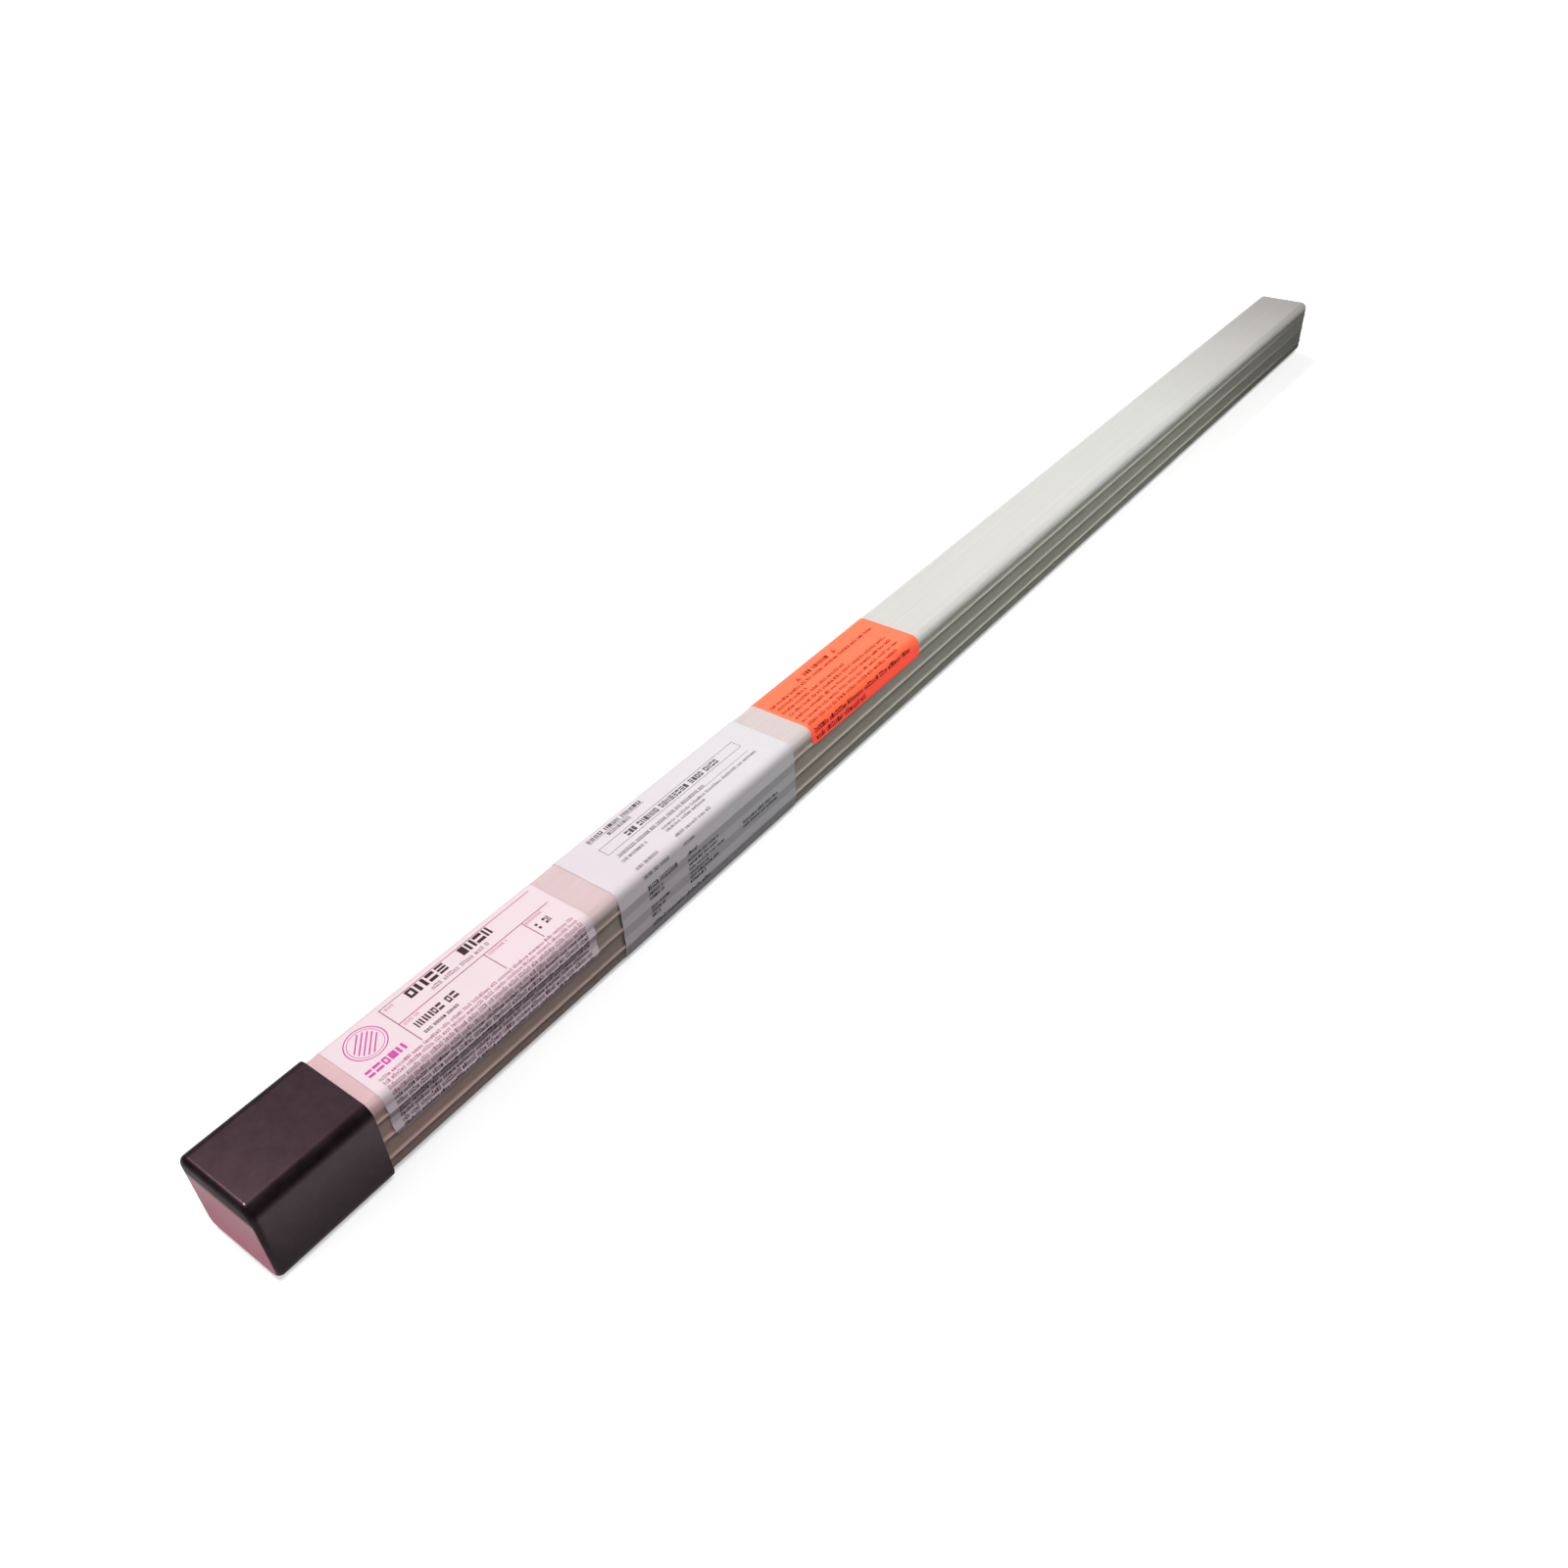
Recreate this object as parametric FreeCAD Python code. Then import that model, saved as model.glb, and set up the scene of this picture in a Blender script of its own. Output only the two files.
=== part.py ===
import FreeCAD, Part
import math
import os

# A storage tube of filler rods for TIG welding, lying on its flat underside.
# The tube is a square plastic extrusion with three stiffening ribs along each side. A soft cap
# slips over its near end, a flush plug closes its far end, and loose straight rods lie inside.
# Two stickers and a paper wrap go round the outside behind the cap.
# Frame in millimetres: +X runs from the cap to the far end, +Z is up, the ribbed sides face -Y
# and +Y, and the origin lies under the middle of the whole length, where the cap rests.

# Filler rods
ROD_DIAMETER = 1.6
ROD_LENGTH = 914.4
ROD_COUNT = 32
ROD_SIDE_GAP = 0.02
ROD_SCATTER = (0.0, 0.6, 0.2, 0.8, 0.4)
ROD_END_ROOM = 0.5

# Extruded tube
TUBE_WIDTH = 35.5
TUBE_HEIGHT = 35.5
TUBE_WALL = 1.25
TUBE_CORNER_RADIUS = 4.0
RIB_COUNT = 3
RIB_PITCH = 9.5
RIB_HEIGHT = 0.8
RIB_BASE = 3.0
RIB_CREST_RADIUS = 0.6

# Slip-on end cap
CAP_LENGTH = 48.0
CAP_WALL = 1.0
CAP_END_WALL = 2.4
CAP_FIT_GAP = 0.12
CAP_SEAT_GAP = 0.3
CAP_NOSE_RADIUS = 2.4
CAP_RIM_BEVEL = 0.25

# Flush plug in the far end
PLUG_FLANGE = 1.6
PLUG_SKIRT_DEPTH = 9.0
PLUG_SKIRT_WALL = 1.2
PLUG_FIT_GAP = 0.05
PLUG_EDGE_BEVEL = 0.5

# Paper on the outside: each piece's gap from what comes before it along the tube, its length,
# and how far a sticker reaches down the front side (-Y) and the back side (+Y) from the top
PAPER_SEAT = 0.02
STICKER_THICKNESS = 0.12
STICKER_CORNER_RADIUS = 3.0
STICKER_BRIDGE = 1.7
FRONT_LABEL_GAP = 5.5
FRONT_LABEL_LENGTH = 101.4
FRONT_LABEL_FRONT_DROP = 20.0
FRONT_LABEL_BACK_DROP = 11.2
FRONT_LABEL_SLANT = -0.5
WRAP_GAP = 13.9
WRAP_LENGTH = 114.2
WRAP_THICKNESS = 0.25
WRAP_SAG = 0.25
WRAP_OVERLAP = 12.0
ORANGE_STICKER_GAP = 14.6
ORANGE_STICKER_LENGTH = 89.6
ORANGE_STICKER_FRONT_DROP = 10.0
ORANGE_STICKER_BACK_DROP = 9.5
ORANGE_STICKER_SLANT = 1.1

# A fillet or bevel takes at most this share of the wall or corner that it lies on
EDGE_SHARE = 0.9
# Points nearer to each other than this are the same point
SAME_PLACE = 1e-4

# Places along X, from the cap's nose to the plug's outer face
TUBE_LENGTH = PLUG_SKIRT_DEPTH + ROD_LENGTH + max(ROD_SCATTER) + ROD_END_ROOM
TOTAL_LENGTH = CAP_END_WALL + CAP_SEAT_GAP + TUBE_LENGTH + PLUG_FLANGE
NOSE_X = -TOTAL_LENGTH / 2
CAP_FLOOR_X = NOSE_X + CAP_END_WALL
CAP_RIM_X = NOSE_X + CAP_LENGTH
TUBE_MOUTH_X = CAP_FLOOR_X + CAP_SEAT_GAP
TUBE_END_X = TUBE_MOUTH_X + TUBE_LENGTH
SKIRT_EDGE_X = TUBE_END_X - PLUG_SKIRT_DEPTH
FRONT_LABEL_X = CAP_RIM_X + FRONT_LABEL_GAP
WRAP_X = FRONT_LABEL_X + FRONT_LABEL_LENGTH + WRAP_GAP
ORANGE_STICKER_X = WRAP_X + WRAP_LENGTH + ORANGE_STICKER_GAP

# Heights, from the cap's underside to the tube's top face
TUBE_BOTTOM_Z = CAP_WALL + CAP_FIT_GAP
TUBE_TOP_Z = TUBE_BOTTOM_Z + TUBE_HEIGHT
AXIS_Z = TUBE_BOTTOM_Z + TUBE_HEIGHT / 2
RIB_CENTRES_Z = [AXIS_Z + RIB_PITCH * ((RIB_COUNT - 1) / 2 - i) for i in range(RIB_COUNT)]

# A rib's round crest meets its two hollow feet at this steepest slope
RIB_SLOPE = 2 * math.atan(2 * RIB_HEIGHT / RIB_BASE)
RIB_FOOT_RADIUS = RIB_BASE / 2 / math.sin(RIB_SLOPE) - RIB_CREST_RADIUS


def at(x, y, z):
    return FreeCAD.Vector(x, y, z)


def line(start, end):
    return Part.LineSegment(start, end).toShape()


def arc(x, centre, radius, start_deg, end_deg):
    """An arc across the tube, its angles turning from +Y towards +Z."""
    points = []
    for angle in (start_deg, (start_deg + end_deg) / 2, end_deg):
        turn = math.radians(angle)
        points.append(at(x, centre[0] + radius * math.cos(turn), centre[1] + radius * math.sin(turn)))
    return Part.Arc(*points).toShape()


def closed_face(edges):
    return Part.Face(Part.Wire(Part.__sortEdges__(edges)))


def chain(start, parts):
    """Joins edges end to end with straight lines, and closes the loop."""
    edges = []
    here = start
    for part in parts:
        first, last = part[0].Vertexes[0].Point, part[-1].Vertexes[-1].Point
        if here.distanceToPoint(first) > SAME_PLACE:
            edges.append(line(here, first))
        edges.extend(part)
        here = last
    if here.distanceToPoint(start) > SAME_PLACE:
        edges.append(line(here, start))
    return edges


def corner(x, half_width, half_height, radius, quarter):
    """One rounded corner about the tube's axis; quarter 0 is +Y and up, then on towards -Y."""
    side = 1 if quarter in (0, 3) else -1
    up = 1 if quarter in (0, 1) else -1
    centre = (side * (half_width - radius), AXIS_Z + up * (half_height - radius))
    return [arc(x, centre, radius, 90 * quarter, 90 * (quarter + 1))]


def rounded_section(x, width, height, radius):
    corners = [corner(x, width / 2, height / 2, radius, quarter) for quarter in range(4)]
    return closed_face(chain(corners[0][0].Vertexes[0].Point, corners))


def rib_arcs(x, side, centre_z, heading):
    """One rib: a hollow foot, a round crest and a hollow foot, all tangent, going up or down."""
    wall_y = side * TUBE_WIDTH / 2

    def foot(turn, end):
        rise = RIB_FOOT_RADIUS * (1 - math.cos(turn))
        along = RIB_BASE / 2 - RIB_FOOT_RADIUS * math.sin(turn)
        return at(x, wall_y + side * rise, centre_z + end * heading * along)

    crest = at(x, wall_y + side * RIB_HEIGHT, centre_z)
    first = [foot(turn, -1) for turn in (0, RIB_SLOPE / 2, RIB_SLOPE)]
    last = [foot(turn, 1) for turn in (RIB_SLOPE, RIB_SLOPE / 2, 0)]
    runs = (first, [first[-1], crest, last[0]], last)
    return [Part.Arc(*run).toShape() for run in runs]


def ribbed_section(x):
    """The tube's outline: a rounded square with ribs on the two sides."""
    half_width, half_height = TUBE_WIDTH / 2, TUBE_HEIGHT / 2
    corners = [corner(x, half_width, half_height, TUBE_CORNER_RADIUS, quarter) for quarter in range(4)]
    front_ribs = [rib_arcs(x, -1, z, -1) for z in RIB_CENTRES_Z]
    back_ribs = [rib_arcs(x, 1, z, 1) for z in reversed(RIB_CENTRES_Z)]
    order = corners[:2] + front_ribs + corners[2:] + back_ribs
    return closed_face(chain(corners[0][0].Vertexes[0].Point, order))


def edges_in_plane(shape, x):
    """The edges that lie wholly in the plane at x."""
    boxes = [(edge, edge.BoundBox) for edge in shape.Edges]
    return [edge for edge, box in boxes if max(abs(box.XMin - x), abs(box.XMax - x)) < SAME_PLACE]


def tube_filling(x, inset):
    """The tube's rounded square, taken in all round by the inset."""
    return rounded_section(x, TUBE_WIDTH - 2 * inset, TUBE_HEIGHT - 2 * inset, TUBE_CORNER_RADIUS - inset)


def make_tube():
    outline = ribbed_section(TUBE_MOUTH_X)
    hollow = tube_filling(TUBE_MOUTH_X, TUBE_WALL)
    return outline.cut(hollow).extrude(at(TUBE_LENGTH, 0, 0))


def make_end_cap():
    """A soft cup, as wide as it takes to pass the ribs, with a round nose and a bevelled rim."""
    width = TUBE_WIDTH + 2 * (RIB_HEIGHT + CAP_FIT_GAP)
    height = TUBE_HEIGHT + 2 * CAP_FIT_GAP
    inner_radius = TUBE_CORNER_RADIUS + CAP_FIT_GAP
    outer_radius = inner_radius + CAP_WALL
    outer = rounded_section(NOSE_X, width + 2 * CAP_WALL, height + 2 * CAP_WALL, outer_radius)
    body = outer.extrude(at(CAP_LENGTH, 0, 0))
    nose_radius = min(CAP_NOSE_RADIUS, EDGE_SHARE * outer_radius)
    body = body.makeFillet(nose_radius, edges_in_plane(body, NOSE_X))
    rim_bevel = min(CAP_RIM_BEVEL, EDGE_SHARE * CAP_WALL)
    body = body.makeChamfer(rim_bevel, edges_in_plane(body, CAP_RIM_X))
    cavity = rounded_section(CAP_FLOOR_X, width, height, inner_radius)
    return body.cut(cavity.extrude(at(CAP_LENGTH, 0, 0)))


def make_end_plug():
    """A flange flush with the tube and a skirt that grips its inner wall."""
    flange = tube_filling(TUBE_END_X, 0).extrude(at(PLUG_FLANGE, 0, 0))
    edge_bevel = min(PLUG_EDGE_BEVEL, EDGE_SHARE * PLUG_FLANGE)
    flange = flange.makeChamfer(edge_bevel, edges_in_plane(flange, TUBE_END_X + PLUG_FLANGE))
    outer_inset = TUBE_WALL + PLUG_FIT_GAP
    skirt = tube_filling(SKIRT_EDGE_X, outer_inset)
    skirt = skirt.cut(tube_filling(SKIRT_EDGE_X, outer_inset + PLUG_SKIRT_WALL))
    return flange.fuse(skirt.extrude(at(PLUG_SKIRT_DEPTH, 0, 0))).removeSplitter()


def rod_places():
    """Centres of the rods, row on row, each row lying in the hollows of the one below."""
    pitch = ROD_DIAMETER + ROD_SIDE_GAP
    row_rise = pitch * math.sqrt(3) / 2
    floor_z = TUBE_BOTTOM_Z + TUBE_WALL + ROD_SIDE_GAP
    flat_width = TUBE_WIDTH - 2 * TUBE_CORNER_RADIUS
    full_row = int((flat_width + SAME_PLACE) / pitch)
    places = []
    row = 0
    while len(places) < ROD_COUNT:
        in_row = full_row - row % 2
        start_y = -pitch * (in_row - 1) / 2
        z = floor_z + ROD_DIAMETER / 2 + row * row_rise
        places.extend((start_y + pitch * i, z) for i in range(min(in_row, ROD_COUNT - len(places))))
        row += 1
    return places


def make_filler_rod(index, y, z):
    """One straight cut length, pushed a little along the tube."""
    x = SKIRT_EDGE_X - ROD_LENGTH - ROD_SCATTER[index % len(ROD_SCATTER)]
    return Part.makeCylinder(ROD_DIAMETER / 2, ROD_LENGTH, at(x, y, z), at(1, 0, 0))


def sticker_side(side, drop, lift):
    """Points down one side under a sticker, whose flat flanks touch the crest of each rib."""
    reach = RIB_BASE / 2 + STICKER_BRIDGE
    crest_up = RIB_HEIGHT - RIB_CREST_RADIUS
    to_crest = math.hypot(reach, crest_up)
    slope = math.atan2(crest_up, reach) + math.asin(RIB_CREST_RADIUS / to_crest)

    def rise(z):
        nearest = min(abs(z - centre) for centre in RIB_CENTRES_Z)
        return math.tan(slope) * max(0.0, reach - nearest)

    top, lowest = TUBE_TOP_Z - TUBE_CORNER_RADIUS, TUBE_TOP_Z - drop
    bends = [z + step for z in RIB_CENTRES_Z for step in (reach, 0, -reach)]
    bends = [z for z in bends if lowest + SAME_PLACE < z < top - SAME_PLACE]
    heights = [top] + sorted(bends, reverse=True) + [lowest]
    return [(side * (TUBE_WIDTH / 2 + lift + rise(z)), z) for z in heights]


def path(x, points):
    return [line(at(x, *a), at(x, *b)) for a, b in zip(points, points[1:])]


def sticker_line(x, front_drop, back_drop, lift):
    """The sticker's run across the tube, at one height above it, from the front to the back."""
    radius = TUBE_CORNER_RADIUS + lift
    half_width, half_height = TUBE_WIDTH / 2 + lift, TUBE_HEIGHT / 2 + lift
    front_corner = corner(x, half_width, half_height, radius, 1)
    back_corner = corner(x, half_width, half_height, radius, 0)
    top = line(back_corner[0].Vertexes[1].Point, front_corner[0].Vertexes[0].Point)
    front = sticker_side(-1, front_drop, lift)
    back = sticker_side(1, back_drop, lift)
    edges = path(x, front) + front_corner + [top] + back_corner + path(x, back)
    return edges, (front[-1], back[-1])


def sticker_outline(start_x, length, side, drop, rise_per_mm):
    """A block that holds one side of a sticker, from the tube's middle out, with round lower corners."""
    end_x = start_x + length
    above = TUBE_TOP_Z + TUBE_CORNER_RADIUS
    low_start = TUBE_TOP_Z - drop - rise_per_mm * length / 2
    low_end = TUBE_TOP_Z - drop + rise_per_mm * length / 2
    points = [(start_x, above), (start_x, low_start), (end_x, low_end), (end_x, above), (start_x, above)]
    face = Part.Face(Part.makePolygon([at(x, 0, z) for x, z in points]))
    block = face.extrude(at(0, side * TUBE_WIDTH, 0))
    boxes = [(edge, edge.BoundBox) for edge in block.Edges]
    lower = [edge for edge, box in boxes if box.ZMax < TUBE_TOP_Z and box.YLength > SAME_PLACE]
    return block.makeFillet(STICKER_CORNER_RADIUS, lower)


def make_sticker(start_x, length, front_drop, back_drop, slant_deg):
    """A sticker over the top and down both sides, a little askew, with round lower corners."""
    slant = math.tan(math.radians(slant_deg))
    low_corner = abs(slant) * length / 2
    inner, inner_ends = sticker_line(start_x, front_drop + low_corner, back_drop + low_corner, PAPER_SEAT)
    outer, outer_ends = sticker_line(start_x, front_drop + low_corner, back_drop + low_corner,
                                     PAPER_SEAT + STICKER_THICKNESS)
    ends = [line(at(start_x, *a), at(start_x, *b)) for a, b in zip(inner_ends, outer_ends)]
    skin = closed_face(inner + outer + ends).extrude(at(length, 0, 0))
    front = sticker_outline(start_x, length, -1, front_drop, -slant)
    back = sticker_outline(start_x, length, 1, back_drop, slant)
    return skin.common(front.fuse(back).removeSplitter())


def wrap_side(side, lift):
    """Points down one side under the taut wrap, which sags a little between the rib crests."""
    crest_y = TUBE_WIDTH / 2 + RIB_HEIGHT + lift
    points = [(side * crest_y, RIB_CENTRES_Z[0])]
    for upper, lower in zip(RIB_CENTRES_Z, RIB_CENTRES_Z[1:]):
        points.append((side * (crest_y - WRAP_SAG), (upper + lower) / 2))
        points.append((side * crest_y, lower))
    return points


def wrap_section(x, lift):
    """The wrap's outline: round each corner, and straight to the nearest rib from where it leaves."""
    radius = TUBE_CORNER_RADIUS + lift
    centre_y = TUBE_WIDTH / 2 - TUBE_CORNER_RADIUS
    centre_up = TUBE_HEIGHT / 2 - TUBE_CORNER_RADIUS
    out = TUBE_WIDTH / 2 + RIB_HEIGHT + lift - centre_y
    down = centre_up - (RIB_CENTRES_Z[0] - AXIS_Z)
    leave = math.degrees(math.acos(radius / math.hypot(out, down)) - math.atan2(down, out))
    top_z, low_z = AXIS_Z + centre_up, AXIS_Z - centre_up
    front = wrap_side(-1, lift)
    back = wrap_side(1, lift)[::-1]
    parts = [
        [arc(x, (centre_y, top_z), radius, leave, 90)],
        [arc(x, (-centre_y, top_z), radius, 90, 180 - leave)],
        path(x, front),
        [arc(x, (-centre_y, low_z), radius, 180 + leave, 270)],
        [arc(x, (centre_y, low_z), radius, 270, 360 - leave)],
        path(x, back),
    ]
    return closed_face(chain(parts[0][0].Vertexes[0].Point, parts))


def make_paper_wrap():
    """A folded sheet wound once round the tube, its ends lapped under it."""
    section = wrap_section(WRAP_X, PAPER_SEAT + WRAP_THICKNESS).cut(wrap_section(WRAP_X, PAPER_SEAT))
    sleeve = section.extrude(at(WRAP_LENGTH, 0, 0))
    lap_z = TUBE_BOTTOM_Z - PAPER_SEAT - 2 * WRAP_THICKNESS
    lap = Part.makeBox(WRAP_LENGTH, WRAP_OVERLAP, WRAP_THICKNESS, at(WRAP_X, -WRAP_OVERLAP / 2, lap_z))
    return sleeve.fuse(lap).removeSplitter()


def build():
    nodes = {
        "tube": make_tube(),
        "end_cap": make_end_cap(),
        "end_plug": make_end_plug(),
        "front_label": make_sticker(FRONT_LABEL_X, FRONT_LABEL_LENGTH,
                                    FRONT_LABEL_FRONT_DROP, FRONT_LABEL_BACK_DROP, FRONT_LABEL_SLANT),
        "paper_wrap": make_paper_wrap(),
        "orange_sticker": make_sticker(ORANGE_STICKER_X, ORANGE_STICKER_LENGTH,
                                       ORANGE_STICKER_FRONT_DROP, ORANGE_STICKER_BACK_DROP,
                                       ORANGE_STICKER_SLANT),
    }
    for index, (y, z) in enumerate(rod_places()):
        nodes["filler_rod_%02d" % (index + 1)] = make_filler_rod(index, y, z)
    return nodes


os.makedirs("parts", exist_ok=True)
for name, shape in build().items():
    shape.exportStep("parts/%s.step" % name)
    print(name, len(shape.Solids), round(shape.Volume, 2), shape.isValid())
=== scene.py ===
import math
import random

import bpy
import numpy as np
from mathutils import Matrix, Vector


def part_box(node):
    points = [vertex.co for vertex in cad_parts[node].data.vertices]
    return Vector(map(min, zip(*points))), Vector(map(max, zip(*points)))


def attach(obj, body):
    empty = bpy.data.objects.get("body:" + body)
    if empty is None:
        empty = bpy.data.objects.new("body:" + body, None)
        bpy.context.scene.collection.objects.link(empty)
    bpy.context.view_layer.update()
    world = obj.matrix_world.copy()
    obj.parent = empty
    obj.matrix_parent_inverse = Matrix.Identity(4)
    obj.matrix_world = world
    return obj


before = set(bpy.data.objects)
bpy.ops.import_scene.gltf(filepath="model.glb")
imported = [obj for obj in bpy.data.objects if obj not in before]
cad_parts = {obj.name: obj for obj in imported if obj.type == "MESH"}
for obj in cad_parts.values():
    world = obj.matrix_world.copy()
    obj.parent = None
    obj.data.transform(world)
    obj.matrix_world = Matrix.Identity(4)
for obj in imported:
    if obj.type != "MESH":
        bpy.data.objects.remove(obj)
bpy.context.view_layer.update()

# Metres, with +X from the cap to the far end. The tube's own sizes, as built in the solids:
MM = 0.001
TUBE_WIDTH = 35.5 * MM
CORNER_RADIUS = 4 * MM
RIB_HEIGHT = 0.8 * MM
RIB_PITCH = 9.5 * MM
STICKER_LIFT = 0.14 * MM
STICKER_REACH = 3.2 * MM
STICKER_CREST = 0.82 * MM
WRAP_LIFT = 0.27 * MM
WRAP_SAG = 0.25 * MM
# The wrap leaves the round edge at this turn from the vertical, straight to the first rib's crest
WRAP_LEAVE = math.radians(80)
CORNER_STEPS = 14

CAP_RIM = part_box("end_cap")[1].x
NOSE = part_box("end_cap")[0].x
FAR_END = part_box("tube")[1].x
TUBE_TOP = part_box("tube")[1].z
TUBE_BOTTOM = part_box("tube")[0].z
TOP_FLAT = TUBE_WIDTH / 2 - CORNER_RADIUS
CORNER_RUN = (CORNER_RADIUS + STICKER_LIFT) * math.pi / 2
SIDE_START = TOP_FLAT + CORNER_RUN
CORNER_Z = TUBE_TOP - CORNER_RADIUS
AXIS_Z = (TUBE_TOP + TUBE_BOTTOM) / 2
RIBS_Z = [AXIS_Z + RIB_PITCH, AXIS_Z, AXIS_Z - RIB_PITCH]

# Ink lies on the paper's face as a thin layer with its own thickness
INK_UNDER = 0.004 * MM
INK_OVER = 0.03 * MM

# Colours, linear
CAP_BLACK = (0.0060, 0.0042, 0.0045, 1)
CAP_WORN = (0.0180, 0.0125, 0.0150, 1)
CAP_SHEEN = (1.0, 0.54, 0.67, 1)
NOSE_REFLECTION_PINK = (0.64, 0.20, 0.29, 1)
NOSE_REFLECTION_PALE = (0.66, 0.34, 0.37, 1)
STEEL_DARK = (0.50, 0.475, 0.445, 1)
STEEL_BRIGHT = (0.66, 0.64, 0.61, 1)
STEEL_FILM = (0.34, 0.27, 0.22, 1)
# Tones that multiply the colour under them: painted highlight on the tube's round edges near the cap and far
# off, painted shade on its sides with painted light on its ribs' crests, and painted light on the papers near
# the cap and farther off
EDGE_HIGHLIGHT_NEAR = (1.08, 1.10, 1.09, 1)
EDGE_HIGHLIGHT_FAR = (1.34, 1.36, 1.32, 1)
SIDE_SHADE_GREY = (0.74, 0.75, 0.635, 1)
CREST_PAINTED_LIGHT = (1.02, 1.02, 0.94, 1)
PAPER_PINK_LIGHT = (0.99, 0.965, 0.975, 1)
PAPER_COOL_LIGHT = (0.96, 1.02, 1.0, 1)

# The tube's colour, with a painted pink light cast near the cap and painted shade towards the far end, and
# its sides' painted shade, at shares of the way from the nose to the far end
TUBE_TONES_WITH_PAINTED_LIGHT = (
    (0.05, (0.800, 0.515, 0.540, 1)),
    (0.17, (0.730, 0.550, 0.552, 1)),
    (0.31, (0.695, 0.605, 0.590, 1)),
    (0.42, (0.690, 0.672, 0.643, 1)),
    (0.74, (0.735, 0.735, 0.690, 1)),
    (0.88, (0.640, 0.620, 0.588, 1)),
    (0.99, (0.470, 0.450, 0.438, 1)),
)
SIDE_PAINTED_SHADE = ((0.05, 1.0), (0.17, 0.79), (0.31, 0.96), (0.72, 0.96), (0.81, 0.90), (0.91, 0.68), (0.98, 0.50))
# Depths under the tube's top: its round edges' painted highlight with its levels, where the sides' painted
# shade sets in, where the papers' painted side light sets in, and where the nose's painted reflection fades
# out towards the top
EDGE_BAND = (0.0, 6.0 * MM)
EDGE_HIGHLIGHT_LEVELS = ((0.03, 0), (0.17, 1), (0.62, 1), (0.80, 0))
SIDE_SHADE_FROM = (4.0 * MM, 5.5 * MM)
PAPER_SIDE_LIGHT_FROM = (2.0 * MM, 4.5 * MM)
NOSE_REFLECTION_FROM = (8.0 * MM, 5.0 * MM)
# Places across and along: out from the tube's axis to a rib's crest, where the papers' painted light turns
# from pink to cooler, and how deep the cap's painted pink reflection lies on its nose
CREST_FROM = (TUBE_WIDTH / 2 + 0.15 * MM, TUBE_WIDTH / 2 + 0.65 * MM)
COOL_LIGHT_FROM = (CAP_RIM + 120 * MM, CAP_RIM + 235 * MM)
NOSE_REFLECTION_DEPTH = (NOSE + 0.9 * MM, NOSE + 0.2 * MM)


def set_inputs(made, **values):
    """Sets a node's own sockets by name."""
    for name, value in values.items():
        made.inputs[name.replace("_", " ")].default_value = value
    return made


def node(material, kind, **inputs):
    """A new node, with its input sockets set by name."""
    return set_inputs(material.node_tree.nodes.new(kind), **inputs)


def link(material, source, target):
    material.node_tree.links.new(source, target)


def blank(name):
    """A material with its Principled shader, ready for nodes."""
    material = bpy.data.materials.new(name)
    material.use_nodes = True
    return material, material.node_tree.nodes["Principled BSDF"]


def place_along(material, axis, kind="Object"):
    """The object's own coordinate along one axis, or another kind of coordinate."""
    where = node(material, "ShaderNodeTexCoord")
    split = node(material, "ShaderNodeSeparateXYZ")
    link(material, where.outputs[kind], split.inputs[0])
    return split.outputs[axis]


def operate(material, operation, first, second=None):
    """The result of a Math node on one or two values."""
    made = node(material, "ShaderNodeMath")
    made.operation = operation
    link(material, first, made.inputs[0])
    if second is not None:
        link(material, second, made.inputs[1])
    return made.outputs[0]


def spread(material, value, low, high):
    """The value from low to high, as 0 to 1."""
    ranged = node(material, "ShaderNodeMapRange", From_Min=low, From_Max=high)
    link(material, value, ranged.inputs["Value"])
    return ranged.outputs["Result"]


def below_top(material, depths):
    """0 to 1 between two depths under the tube's top."""
    return spread(material, place_along(material, "Z"), TUBE_TOP - depths[0], TUBE_TOP - depths[1])


def noise(material, size, stretch=(1, 1, 1), detail=3.0, roughness=0.55):
    """Noise whose cells are about size metres across, drawn out along an axis by stretch."""
    where = node(material, "ShaderNodeTexCoord")
    scaled = node(material, "ShaderNodeMapping", Scale=[1 / (size * s) for s in stretch])
    cells = node(material, "ShaderNodeTexNoise", Scale=1.0, Detail=detail, Roughness=roughness)
    link(material, where.outputs["Object"], scaled.inputs["Vector"])
    link(material, scaled.outputs["Vector"], cells.inputs["Vector"])
    return cells.outputs["Fac"]


def grey(level):
    return (level, level, level, 1)


def ramp(material, value, stops):
    """A colour ramp through (position, colour) stops."""
    made = node(material, "ShaderNodeValToRGB")
    elements = made.color_ramp.elements
    for element, (position, colour) in zip(elements, (stops[0], stops[-1])):
        element.position = position
        element.color = colour
    for position, colour in stops[1:-1]:
        elements.new(position).color = colour
    link(material, value, made.inputs["Fac"])
    return made.outputs["Color"]


def grey_ramp(material, value, stops):
    """A ramp through (position, level) stops."""
    return ramp(material, value, [(position, grey(level)) for position, level in stops])


def mix(material, factor, first, second, kind="MIX"):
    """Two colours mixed; each is a socket or a plain colour, and so is the factor."""
    made = node(material, "ShaderNodeMix")
    made.data_type = "RGBA"
    made.blend_type = kind
    for socket, value in ((made.inputs["Factor"], factor), (made.inputs[6], first), (made.inputs[7], second)):
        if isinstance(value, bpy.types.NodeSocket):
            link(material, value, socket)
        else:
            socket.default_value = value
    return made.outputs[2]


def multiply(material, colour, *others):
    for other in others:
        colour = mix(material, 1.0, colour, other, "MULTIPLY")
    return colour


def paint(material, shader, colour):
    link(material, colour, shader.inputs["Base Color"])


def roughen(material, shader, value, low, high):
    """Roughness after a noise; low and high are the values at which it would be 0 and 1."""
    link(material, spread(material, value, low, high), shader.inputs["Roughness"])


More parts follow.
